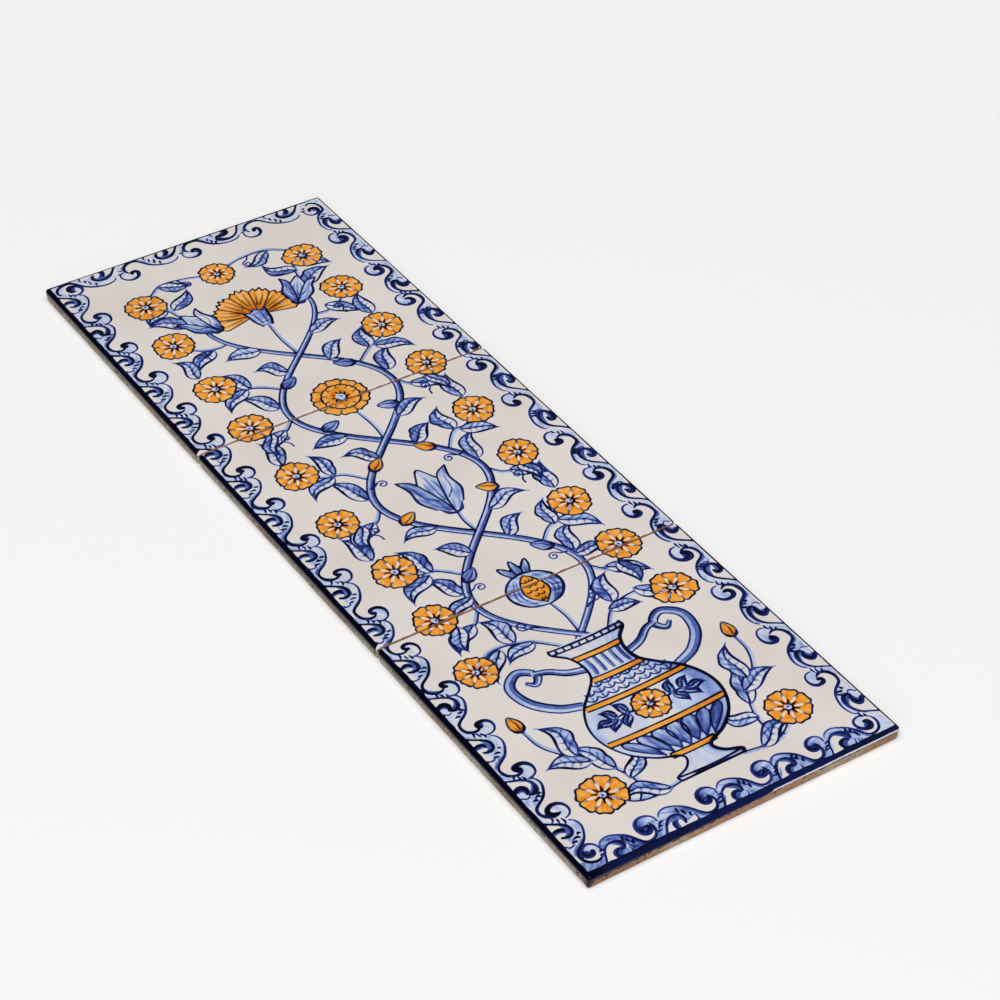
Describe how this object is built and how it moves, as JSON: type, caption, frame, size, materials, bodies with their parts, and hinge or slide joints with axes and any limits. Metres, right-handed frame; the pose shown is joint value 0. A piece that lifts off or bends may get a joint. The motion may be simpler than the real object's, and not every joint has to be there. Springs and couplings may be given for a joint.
{
  "type": "azulejo tile panel",
  "caption": "Row of square glazed clay tiles with rolled edges and keyed backs, laid edge to edge so a painted picture with a scroll border runs across them; bedded on a wall as decoration.",
  "frame": {"origin": "middle of the panel's back, on the surface that it lies or is bedded on", "axes": "+X across the panel to the right of the picture, +Y up the picture along the row of tiles, +Z out of the painted face"},
  "size_m": [0.15, 0.4512, 0.006],
  "materials": {
    "painted_tile": "glossy off-white tin glaze, hand painted in cobalt blue and orange, over bare red clay sides and back"
  },
  "bodies": {
    "root": {"tile_top": "painted_tile", "tile_middle": "painted_tile", "tile_bottom": "painted_tile"}
  },
  "joints": []
}
